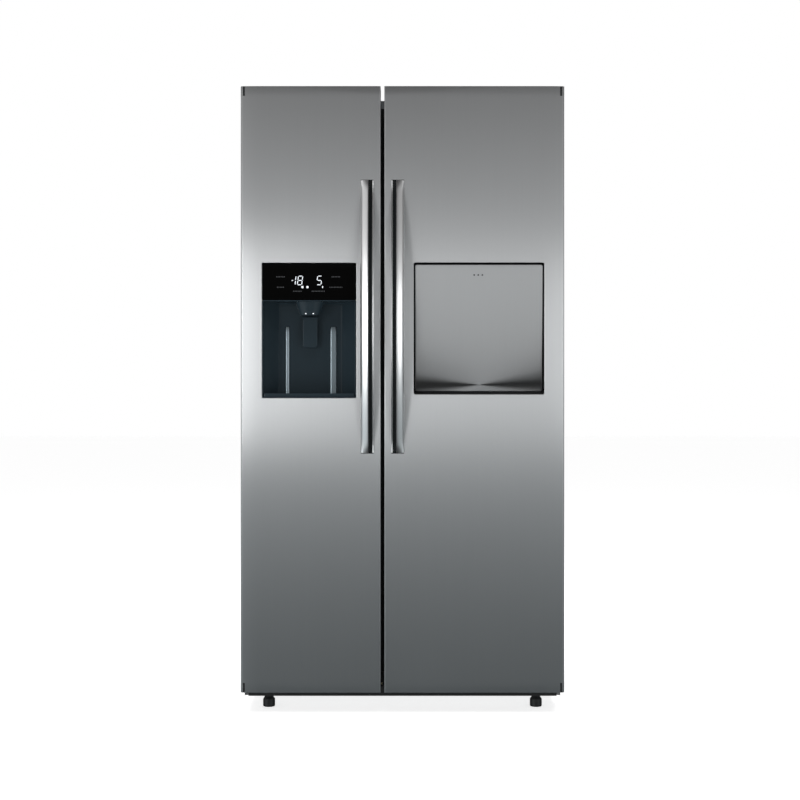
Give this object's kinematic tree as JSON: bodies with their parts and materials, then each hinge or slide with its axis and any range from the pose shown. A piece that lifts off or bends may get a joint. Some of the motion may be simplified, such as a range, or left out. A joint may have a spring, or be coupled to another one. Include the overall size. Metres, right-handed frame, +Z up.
{
  "type": "side by side refrigerator",
  "caption": "Side by side refrigerator with brushed steel doors, bowed handles, an ice and water dispenser and a fold-down home bar door.",
  "frame": {"origin": "middle of the bottom of the bounding box, on the floor", "axes": "+X to the right seen from the front, +Y to the back, +Z up; the doors face -Y"},
  "size_m": [0.9, 0.728, 1.752],
  "materials": {
    "brushed_steel": "vertical fine brushed grain, satin",
    "grey_cabinet_steel": "textured grey paint",
    "satin_aluminium": "satin",
    "zinc_steel": "zinc plated, dull",
    "foam": "rigid polyurethane foam",
    "white_plastic": "semi gloss",
    "clear_plastic": "clear moulded plastic",
    "shelf_glass": "tempered glass with a pale rim",
    "dark_plastic": "fine grained",
    "recess_plastic": "dark blue grey, glossy",
    "black_glass": "high gloss",
    "seal_rubber": "soft matt",
    "black_enamel": "gloss enamel"
  },
  "bodies": {
    "root": {"cabinet_wrapper": "grey_cabinet_steel", "cabinet_back": "zinc_steel", "base_pan": "zinc_steel", "upper_hinge_left": "zinc_steel", "upper_hinge_right": "zinc_steel", "lower_hinge_left": "zinc_steel", "lower_hinge_right": "zinc_steel", "machine_cover": "zinc_steel", "cabinet_foam": "foam", "freezer_liner": "white_plastic", "fridge_liner": "white_plastic", "evaporator_cover": "white_plastic", "fridge_air_duct": "white_plastic", "ice_maker": "white_plastic", "freezer_drawer_lower": "clear_plastic", "freezer_drawer_upper": "clear_plastic", "crisper_lower": "clear_plastic", "crisper_upper": "clear_plastic", "ice_bucket": "clear_plastic", "freezer_shelf": "shelf_glass", "crisper_cover": "shelf_glass", "fridge_shelf": "shelf_glass", "kick_plate": "dark_plastic", "hinge_cover_left": "dark_plastic", "hinge_cover_right": "dark_plastic", "compressor": "black_enamel"},
    "freezer_door": {"freezer_door_skin": "brushed_steel", "freezer_door_foam": "foam", "freezer_door_liner": "white_plastic", "freezer_door_gasket": "seal_rubber", "freezer_door_top_cap": "dark_plastic", "freezer_door_bottom_cap": "dark_plastic", "freezer_handle": "satin_aluminium", "dispenser_housing": "recess_plastic", "dispenser_display": "black_glass", "ice_chute": "recess_plastic", "drip_tray": "dark_plastic", "freezer_bin_lower": "clear_plastic", "freezer_bin_upper": "clear_plastic"},
    "fridge_door": {"fridge_door_skin": "brushed_steel", "fridge_door_foam": "foam", "fridge_door_liner": "white_plastic", "fridge_door_gasket": "seal_rubber", "fridge_door_top_cap": "dark_plastic", "fridge_door_bottom_cap": "dark_plastic", "fridge_handle": "satin_aluminium", "home_bar_frame": "dark_plastic", "fridge_bin_lower": "clear_plastic", "fridge_bin_upper": "clear_plastic"},
    "home_bar_door": {"home_bar_panel": "brushed_steel", "home_bar_liner": "white_plastic"},
    "dispenser_paddle": {"dispenser_paddle": "recess_plastic"},
    "ice_flap": {"ice_flap": "dark_plastic"},
    "ice_auger": {"ice_auger": "zinc_steel"},
    "evaporator_fan": {"evaporator_fan": "dark_plastic"},
    "condenser_fan": {"condenser_fan": "dark_plastic"},
    "rear_roller_left": {"rear_roller_left": "dark_plastic"},
    "rear_roller_right": {"rear_roller_right": "dark_plastic"},
    "foot_left": {"foot_left": "dark_plastic"},
    "foot_right": {"foot_right": "dark_plastic"}
  },
  "joints": [
    {"name": "freezer_door_hinge", "type": "hinge", "parent": "root", "child": "freezer_door", "pos_m": [-0.432, -0.269, 0.9015], "axis": [0, 0, -1], "range_deg": [0, 120]},
    {"name": "fridge_door_hinge", "type": "hinge", "parent": "root", "child": "fridge_door", "pos_m": [0.432, -0.269, 0.9015], "axis": [0, 0, 1], "range_deg": [0, 120]},
    {"name": "home_bar_hinge", "type": "hinge", "parent": "fridge_door", "child": "home_bar_door", "pos_m": [0.2125, -0.302, 0.901], "axis": [1, 0, 0], "range_deg": [0, 90]},
    {"name": "paddle_pivot", "type": "hinge", "parent": "freezer_door", "child": "dispenser_paddle", "pos_m": [-0.2596, -0.265, 1.1024], "axis": [1, 0, 0], "range_deg": [0, 10], "stiffness_Nm_per_rad": 0.5, "springref_deg": -9.74},
    {"name": "ice_flap_pivot", "type": "hinge", "parent": "freezer_door", "child": "ice_flap", "pos_m": [-0.2596, -0.26555, 1.1534], "axis": [1, 0, 0], "range_deg": [0, 54]},
    {"name": "ice_auger_spin", "type": "hinge", "parent": "root", "child": "ice_auger", "pos_m": [-0.2385, 0.064, 1.4244], "axis": [0, 1, 0], "continuous": true},
    {"name": "evaporator_fan_spin", "type": "hinge", "parent": "root", "child": "evaporator_fan", "pos_m": [-0.2385, 0.2755, 1.554], "axis": [0, 1, 0], "continuous": true},
    {"name": "condenser_fan_spin", "type": "hinge", "parent": "root", "child": "condenser_fan", "pos_m": [-0.06, 0.2515, 0.144], "axis": [0, 1, 0], "continuous": true},
    {"name": "rear_roller_left_spin", "type": "hinge", "parent": "root", "child": "rear_roller_left", "pos_m": [-0.395, 0.304, 0.015], "axis": [1, 0, 0], "continuous": true},
    {"name": "rear_roller_right_spin", "type": "hinge", "parent": "root", "child": "rear_roller_right", "pos_m": [0.395, 0.304, 0.015], "axis": [1, 0, 0], "continuous": true},
    {"name": "foot_left_screw", "type": "hinge", "parent": "root", "child": "foot_left", "pos_m": [-0.38, -0.21, 0.02], "axis": [0, 0, 1], "continuous": true},
    {"name": "foot_right_screw", "type": "hinge", "parent": "root", "child": "foot_right", "pos_m": [0.38, -0.21, 0.02], "axis": [0, 0, 1], "continuous": true}
  ],
  "couplings": [
    {"joint": "ice_flap_pivot", "follows": "paddle_pivot", "ratio": 5.4}
  ]
}
